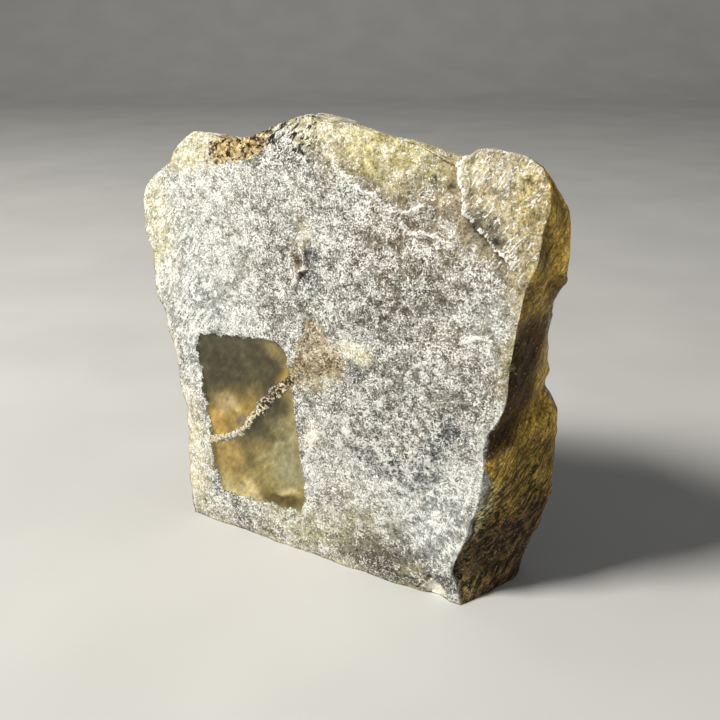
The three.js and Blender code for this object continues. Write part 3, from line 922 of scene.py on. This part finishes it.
class Finish:
    """A material's node tree, with one short call for each kind of node."""

    def __init__(self, name):
        self.material = bpy.data.materials.new(name)
        self.material.use_nodes = True
        self.tree = self.material.node_tree
        self.shader = self.tree.nodes["Principled BSDF"]
        self.object_place = self.tree.nodes.new("ShaderNodeTexCoord").outputs["Object"]

    def feed(self, socket, value):
        """Joins a node's output to one of the shader's own sockets."""
        self.tree.links.new(value, self.shader.inputs[socket])

    def node(self, kind, inputs, **settings):
        """A node with its settings. Each input is a plain value or another node's output."""
        made = self.tree.nodes.new(kind)
        for setting, value in settings.items():
            setattr(made, setting, value)
        for socket, value in inputs.items():
            if isinstance(value, bpy.types.NodeSocket):
                self.tree.links.new(value, made.inputs[socket])
            else:
                made.inputs[socket].default_value = value
        return made

    def field(self, name):
        """A field stored on the mesh: a colour if its name ends that way, or else a number."""
        made = self.node("ShaderNodeAttribute", {}, attribute_name=name)
        return made.outputs["Color" if name.endswith("colour") else "Fac"]

    def along(self, axis):
        """The object place's metres along one axis: 0 across, 1 deep, 2 up."""
        return self.node("ShaderNodeSeparateXYZ", {0: self.object_place}).outputs[axis]

    def work_out(self, kind, first, second=0.0):
        """One step of arithmetic on two numbers."""
        return self.node("ShaderNodeMath", {0: first, 1: second}, operation=kind).outputs[0]

    def add(self, first, second):
        """The sum of two numbers."""
        return self.work_out("ADD", first, second)

    def less(self, first, second):
        """The first number less the second."""
        return self.work_out("SUBTRACT", first, second)

    def times(self, first, second):
        """The product of two numbers."""
        return self.work_out("MULTIPLY", first, second)

    def most(self, first, second):
        """The larger of two numbers."""
        return self.work_out("MAXIMUM", first, second)

    def ease(self, value, low, high, start=0.0, end=1.0):
        """`start` below `low`, `end` above `high`, smooth between."""
        made = self.node("ShaderNodeMapRange", {0: value, 1: low, 2: high, 3: start, 4: end},
                         interpolation_type="SMOOTHSTEP")
        return made.outputs[0]

    def mix(self, share, first, second):
        """The first number where the share is 0, the second where it is 1."""
        return self.node("ShaderNodeMix", {0: share, 2: first, 3: second}, data_type="FLOAT").outputs[0]

    def colour_mix(self, share, first, second, blend_type="MIX"):
        """The same for colours, or, as the blend type says, their product. A colour given as three
        plain numbers is made opaque."""
        first, second = ((*part, 1.0) if isinstance(part, tuple) else part for part in (first, second))
        made = self.node("ShaderNodeMix", {0: share, 6: first, 7: second}, data_type="RGBA",
                         blend_type=blend_type)
        return made.outputs[2]

    def shifted(self, offset):
        """Object places moved by an offset, so that a pattern on them is another one."""
        made = self.node("ShaderNodeMapping", {"Vector": self.object_place, "Location": offset})
        return made.outputs[0]

    def drawn_out(self, turn, stretch):
        """Object places turned about the axes by degrees, then divided by the stretch, so that a
        pattern on them is drawn out."""
        turn = tuple(math.radians(angle) for angle in turn)
        made = self.node("ShaderNodeMapping", {"Vector": self.object_place, "Rotation": turn,
                                               "Scale": stretch}, vector_type="TEXTURE")
        return made.outputs[0]

    def noise(self, size, detail=2.0, rough=0.5, distort=0.0, place=None):
        """Noise from 0 to 1 with humps about `size` millimetres across."""
        made = self.node("ShaderNodeTexNoise", {
            "Vector": place or self.object_place, "Scale": 1 / (size * MM), "Detail": detail,
            "Roughness": rough, "Distortion": distort})
        return made.outputs[0]

    def worms(self, size, width, place):
        """Crooked lines: the narrow band where a noise crosses its middle value."""
        wave = self.noise(size, 1.5, 0.55, 0.35, place)
        off = self.work_out("ABSOLUTE", self.less(wave, 0.5))
        return self.ease(off, 0.0, width, 1.0, 0.0)

    def web(self, size, width):
        """Thin lines round cells about `size` millimetres across, whose sides wander."""
        bend = self.node("ShaderNodeTexNoise", {"Vector": self.object_place, "Scale": 0.9 / (size * MM),
                                                "Detail": 3.0, "Roughness": 0.6}).outputs["Color"]
        reach = (0.9 * size * MM,) * 3
        bent = self.node("ShaderNodeVectorMath", {0: bend, 1: reach, 2: self.object_place},
                         operation="MULTIPLY_ADD").outputs[0]
        cells = self.node("ShaderNodeTexVoronoi", {"Vector": bent, "Scale": 1 / (size * MM)},
                          feature="DISTANCE_TO_EDGE").outputs["Distance"]
        return self.ease(cells, 0.0, width, 1.0, 0.0)

    def grain(self, place, aside):
        """Height of the white grain, 0 to 1, which is partly crushed frosting and partly painted
        sparkle:
        crooked lines of two sizes over small flecks.
        """
        lines = self.most(self.worms(LONG_GRAIN, 0.075, place), self.worms(SHORT_GRAIN, 0.085, aside))
        flecks = self.ease(self.noise(FLECK, 2.0, 0.6, place=aside), 0.36, 0.68)
        return self.add(self.times(lines, 0.56), self.times(flecks, 0.42))


def rock_finish():
    """Labradorite as it is sawn, broken, weathered and polished on this stone."""
    f = Finish("labradorite")
    window, crack, frost, sawn = (f.field(name) for name in ("window", "crack", "frost", "sawn"))
    crusted, soot, stain = f.field("crust"), f.field("soot"), f.field("stain")
    seam, vein, webbed, right = (f.field(name) for name in ("seam", "vein", "webbed", "right"))
    rock_colour = f.field("rock_colour")

    # White grain, partly the crushed frosting of the sawn face and partly painted sparkle of its tiny
    # facets catching the light, cut off at a height that the frost field sets. It runs along the saw
    # marks on the left and the fibres of the shoulder, and across them at the lower right.
    aside = f.shifted((0.031, 0.017, 0.023))
    rising = f.drawn_out((0, RISING_LEAN, 0), (3, 1, 1))
    falling = f.drawn_out((0, FALLING_LEAN, 0), (2.5, 1, 1))
    saw_marks = f.drawn_out((0, RISING_LEAN, 0), (12, 1, 1))
    side_lay = f.drawn_out((FIBRE_LEAN, 0, 0), (1, 10, 1))
    lay = f.field("lay")
    grain = f.mix(lay, f.grain(f.object_place, aside), f.grain(rising, rising))
    grain = f.mix(f.field("cross_lay"), grain, f.grain(falling, falling))
    cloud = f.noise(4.2, 3.0, 0.6)
    small_cloud = f.noise(1.9, 2.0, 0.6, place=aside)
    small_patches = f.ease(small_cloud, 0.32, 0.68, -0.13, 0.13)
    patchiness = f.add(f.ease(cloud, 0.32, 0.68, -0.15, 0.15), small_patches)
    marks = f.ease(f.noise(0.5, 2.0, 0.6, place=saw_marks), 0.38, 0.62, -0.16, 0.16)
    patchiness = f.mix(lay, patchiness, f.add(f.times(patchiness, 0.4), marks))
    cover = f.add(frost, f.times(patchiness, f.ease(frost, 0.0, 0.45)))
    level = f.less(1.0, cover)
    whiteness = f.ease(grain, f.less(level, 0.075), f.add(level, 0.085))
    ragged = f.ease(f.noise(0.9, 3.0, 0.65), 0.3, 0.7, -0.45, 0.45)
    on_vein = f.ease(f.add(vein, ragged), 0.12, 0.5, 0.75, 0.0)
    web = f.most(f.web(4.2, 0.06), f.times(f.web(1.9, 0.085), 0.8))
    web = f.times(web, f.ease(f.noise(1.3, 3.0, 0.6, place=aside), 0.4, 0.52))
    web = f.times(web, f.times(webbed, f.ease(cloud, 0.3, 0.5)))
    # Painted glints: sparse white specks on the right side.
    glints = f.times(f.ease(f.noise(0.6, 1.0, place=aside), 0.7, 0.76, 0.0, 0.7), right)
    whiteness = f.most(f.most(whiteness, glints), f.most(on_vein, web))

    speckle = f.noise(0.55, 3.0, 0.7)
    rock = f.colour_mix(1.0, rock_colour, f.ease(speckle, 0.3, 0.7, 0.4, 1.6), "MULTIPLY")
    rock = f.colour_mix(1.0, rock, f.ease(small_cloud, 0.35, 0.68, 0.72, 1.28), "MULTIPLY")
    fibre = f.noise(FIBRE, 2.5, 0.6, place=side_lay)
    low_side = f.ease(f.along(2), 20 * MM, 36 * MM, 1.0, 0.0)
    streak = f.mix(low_side, f.ease(fibre, 0.36, 0.66, 0.58, 1.5), f.ease(fibre, 0.4, 0.62, 0.2, 3.2))
    streak = f.mix(right, 1.0, streak)
    rock = f.colour_mix(1.0, rock, streak, "MULTIPLY")
    haze = f.colour_mix(0.55, rock, HAZE)
    haze_share = f.times(f.ease(f.noise(0.95, 3.0, 0.65, place=aside), 0.42, 0.7), frost)
    rock = f.colour_mix(haze_share, rock, haze)
    white = f.colour_mix(f.ease(cloud, 0.35, 0.65), WHITE_GRAIN, COOL_GRAIN)
    white = f.colour_mix(0.13, white, rock_colour)
    # The white grain: partly crushed frosting, partly painted sparkle of tiny facets.
    colour = f.colour_mix(f.times(whiteness, 0.97), rock, white)

    # Dark seams, thin and broken.
    on_seam = f.ease(f.add(seam, f.times(ragged, 0.8)), 0.15, 0.45, 0.9, 0.0)
    colour = f.colour_mix(on_seam, colour, SEAM_BROWN)

    # Crust: gold and rust knobs with black pits, and sooty streaks on its right.
    knob = f.noise(1.5, 3.0, 0.6, place=aside)
    crust = f.colour_mix(f.ease(knob, 0.38, 0.6), CRUST_RUST, CRUST_GOLD)
    crust = f.colour_mix(f.ease(f.noise(0.5, 2.0), 0.5, 0.62), crust, CRUST_CREAM)
    pits = f.ease(f.noise(1.1, 3.0, 0.7), 0.39, 0.48, 1.0, 0.0)
    crust = f.colour_mix(pits, crust, CRUST_PIT)
    on_crust = f.ease(f.add(crusted, ragged), 0.38, 0.62)
    colour = f.colour_mix(on_crust, colour, crust)
    black = f.ease(f.noise(0.85, 3.0, 0.65, 0.4, place=rising), 0.42, 0.5, 1.0, 0.0)
    on_soot = f.times(black, f.ease(f.add(soot, ragged), 0.3, 0.6))
    colour = f.colour_mix(on_soot, colour, SOOT_BLACK)

    # Rusty stain: fine brown and cream specks with dark gaps, between the white grain.
    rusty = f.colour_mix(f.ease(knob, 0.4, 0.6), STAIN_BROWN, STAIN_TAN)
    rusty = f.colour_mix(f.ease(speckle, 0.42, 0.52, 0.9, 0.0), rusty, STAIN_GAP)
    rusty = f.colour_mix(f.times(whiteness, 0.8), rusty, STAIN_GRAIN)
    on_stain = f.ease(f.add(stain, ragged), 0.3, 0.6)
    colour = f.colour_mix(on_stain, colour, rusty)

    # Polished window, with grain biting into its border.
    border = f.add(window, f.ease(f.noise(0.7, 2.0, 0.6), 0.3, 0.7, -0.32, 0.32))
    border = f.add(border, f.ease(f.noise(3.2, 2.0, 0.6), 0.3, 0.7, -0.45, 0.45))
    polished = f.times(f.ease(border, -0.12, 0.12, 1.0, 0.0), sawn)
    veil = f.ease(f.noise(1.6, 4.0, 0.6, 0.4), 0.3, 0.75, 0.8, 1.2)
    pane = f.colour_mix(1.0, f.field("pane_colour"), veil, "MULTIPLY")
    cleavage = f.noise(0.8, 3.0, 0.6, place=rising)
    pane = f.colour_mix(1.0, pane, f.ease(cleavage, 0.35, 0.7, 0.88, 1.2), "MULTIPLY")
    colour = f.colour_mix(polished, colour, pane)

    # Crack: cream crumbs with dark gaps, wider and darker towards its open end.
    open_end = f.ease(f.along(0), -23 * MM, -13 * MM)
    width = f.mix(open_end, 0.5, 1.05)
    wander = f.ease(f.noise(2.0, 4.0, 0.7), 0.3, 0.7, -1.0, 1.0)
    on_crack = f.ease(f.less(f.add(crack, wander), width), -0.25, 0.2, 1.0, 0.0)
    on_crack = f.times(on_crack, f.ease(window, 0.6, 3.0, 1.0, 0.0))
    crumb = f.noise(0.7, 3.0, 0.65, place=aside)
    crumb = f.ease(crumb, f.mix(open_end, 0.32, 0.48), f.mix(open_end, 0.5, 0.62))
    crumbs = f.colour_mix(crumb, CRUMB_GAP, CRUMB_CREAM)
    colour = f.colour_mix(on_crack, colour, crumbs)
    f.feed("Base Color", colour)

    # Polish, and the fine relief of grain and broken faces.
    dull = f.mix(whiteness, f.mix(right, 0.6, 0.45), 0.75)
    dull = f.mix(on_crust, dull, 0.7)
    smooth_part = f.times(polished, f.less(1.0, on_crack))
    f.feed("Roughness", f.mix(smooth_part, dull, 0.13))
    height = f.add(f.times(whiteness, 0.8), f.times(f.noise(0.5, 4.0, 0.7), 0.9))
    height = f.add(height, f.times(small_cloud, 2.0))
    height = f.add(height, f.times(f.times(fibre, right), 3.0))
    height = f.add(height, f.times(f.times(pits, on_crust), -3.0))
    height = f.times(height, f.less(1.0, smooth_part))
    bump = f.node("ShaderNodeBump", {"Height": height, "Distance": GRAIN_RELIEF, "Strength": 1.0})
    f.feed("Normal", bump.outputs[0])
    f.shader.inputs["IOR"].default_value = 1.5
    f.shader.inputs["Specular IOR Level"].default_value = 0.14
    return f.material


def floor_finish():
    """Plain pale matt board with a trace of unevenness."""
    f = Finish("pale_floor")
    tone = f.ease(f.noise(60, 2.0), 0.3, 0.7, 0.0, 1.0)
    colour = f.colour_mix(tone, FLOOR_LOW, FLOOR_HIGH)
    f.feed("Base Color", colour)
    f.shader.inputs["Roughness"].default_value = 0.85
    return f.material


# ---------------------------------------------------------------- the scene

VIEW_AZIMUTH, VIEW_ELEVATION = 31.55, 21.0
VIEW_DISTANCE = 194.86 * MM
VIEW_AIM = (1.2 * MM, 0.0, 43.1 * MM)  # from the middle of the base
LENS, SENSOR = 45, 36

# The floor's board, in metres: its near end, its half width, how far it runs flat behind the stone,
# the radius of its bend and the height of its wall.
FLOOR_NEAR, FLOOR_HALF_WIDTH, FLOOR_FLAT, FLOOR_BEND, FLOOR_WALL = -1.6, 2.5, 1.1, 0.5, 1.2


def make_floor():
    """A board that runs flat under the stone and curves up far behind it: a straight stretch, a
    quarter circle and a wall, carried sideways."""
    turn = np.linspace(0, math.pi / 2, 24)
    run = np.concatenate([[FLOOR_NEAR], FLOOR_FLAT + FLOOR_BEND * np.sin(turn),
                          [FLOOR_FLAT + FLOOR_BEND]])
    rise = np.concatenate([[0], FLOOR_BEND * (1 - np.cos(turn)), [FLOOR_BEND + FLOOR_WALL]])
    sides = np.linspace(-FLOOR_HALF_WIDTH, FLOOR_HALF_WIDTH, 3)
    azimuth = math.radians(VIEW_AZIMUTH)
    y, x = np.meshgrid(run, sides, indexing="ij")
    z = np.repeat(rise[:, None], len(sides), 1) + cad_low[2]
    turned_x = x * math.cos(azimuth) - y * math.sin(azimuth)
    turned_y = x * math.sin(azimuth) + y * math.cos(azimuth)
    index = np.arange(x.size).reshape(x.shape)
    squares = np.stack([index[:-1, :-1], index[:-1, 1:], index[1:, 1:], index[1:, :-1]], -1)
    places = np.stack([turned_x, turned_y, z], -1)
    floor = add_mesh("floor", places.reshape(-1, 3), squares.reshape(-1, 4))
    floor.data.materials.append(floor_finish())


def aim(thing, place, target):
    """Puts a light or camera at a place, looking at a target."""
    thing.location = place
    thing.rotation_euler = (Vector(target) - Vector(place)).to_track_quat("-Z", "Y").to_euler()


def add_light(name, direction, distance, size, power, colour):
    """A square soft light, standing off from the stone's middle in a direction."""
    lamp = bpy.data.lights.new(name, "AREA")
    lamp.shape = "SQUARE"
    lamp.size = size
    lamp.energy = power
    lamp.color = colour
    piece = bpy.data.objects.new(name, lamp)
    bpy.context.scene.collection.objects.link(piece)
    middle = (cad_low + cad_high) / 2
    aim(piece, middle + Vector(direction).normalized() * distance, middle)


def set_camera():
    """The camera, on the stone's right and a little above it."""
    base = Vector(((cad_low[0] + cad_high[0]) / 2, (cad_low[1] + cad_high[1]) / 2, cad_low[2]))
    target = base + Vector(VIEW_AIM)
    azimuth, elevation = math.radians(VIEW_AZIMUTH), math.radians(VIEW_ELEVATION)
    back = Vector((math.sin(azimuth) * math.cos(elevation), -math.cos(azimuth) * math.cos(elevation),
                   math.sin(elevation)))
    lens = bpy.data.cameras.new("camera")
    lens.lens = LENS
    lens.sensor_width = SENSOR
    lens.clip_start = 10 * MM
    camera = bpy.data.objects.new("camera", lens)
    bpy.context.scene.collection.objects.link(camera)
    aim(camera, target + back * VIEW_DISTANCE, target)
    bpy.context.scene.camera = camera


def light_studio():
    """A soft key from the upper left, a weak fill from the right, and an even pale room."""
    add_light("key", direction=(-0.55, -0.74, 0.88), distance=0.95, size=0.22, power=14,
              colour=(1.0, 0.965, 0.885))
    add_light("fill", direction=(0.9, -0.5, 0.35), distance=1.1, size=0.9, power=0.5,
              colour=(1.0, 0.98, 0.95))
    world = bpy.data.worlds.new("room")
    world.use_nodes = True
    room = world.node_tree.nodes["Background"]
    room.inputs["Color"].default_value = (0.97, 0.98, 1.0, 1.0)
    room.inputs["Strength"].default_value = 0.16
    bpy.context.scene.world = world
    bpy.context.scene.view_settings.view_transform = "Standard"


stone_piece = make_stone_piece(Stone())
stone_piece.data.materials.append(rock_finish())
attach(stone_piece, "root")
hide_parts("labradorite_chunk")

make_floor()
set_camera()
light_studio()
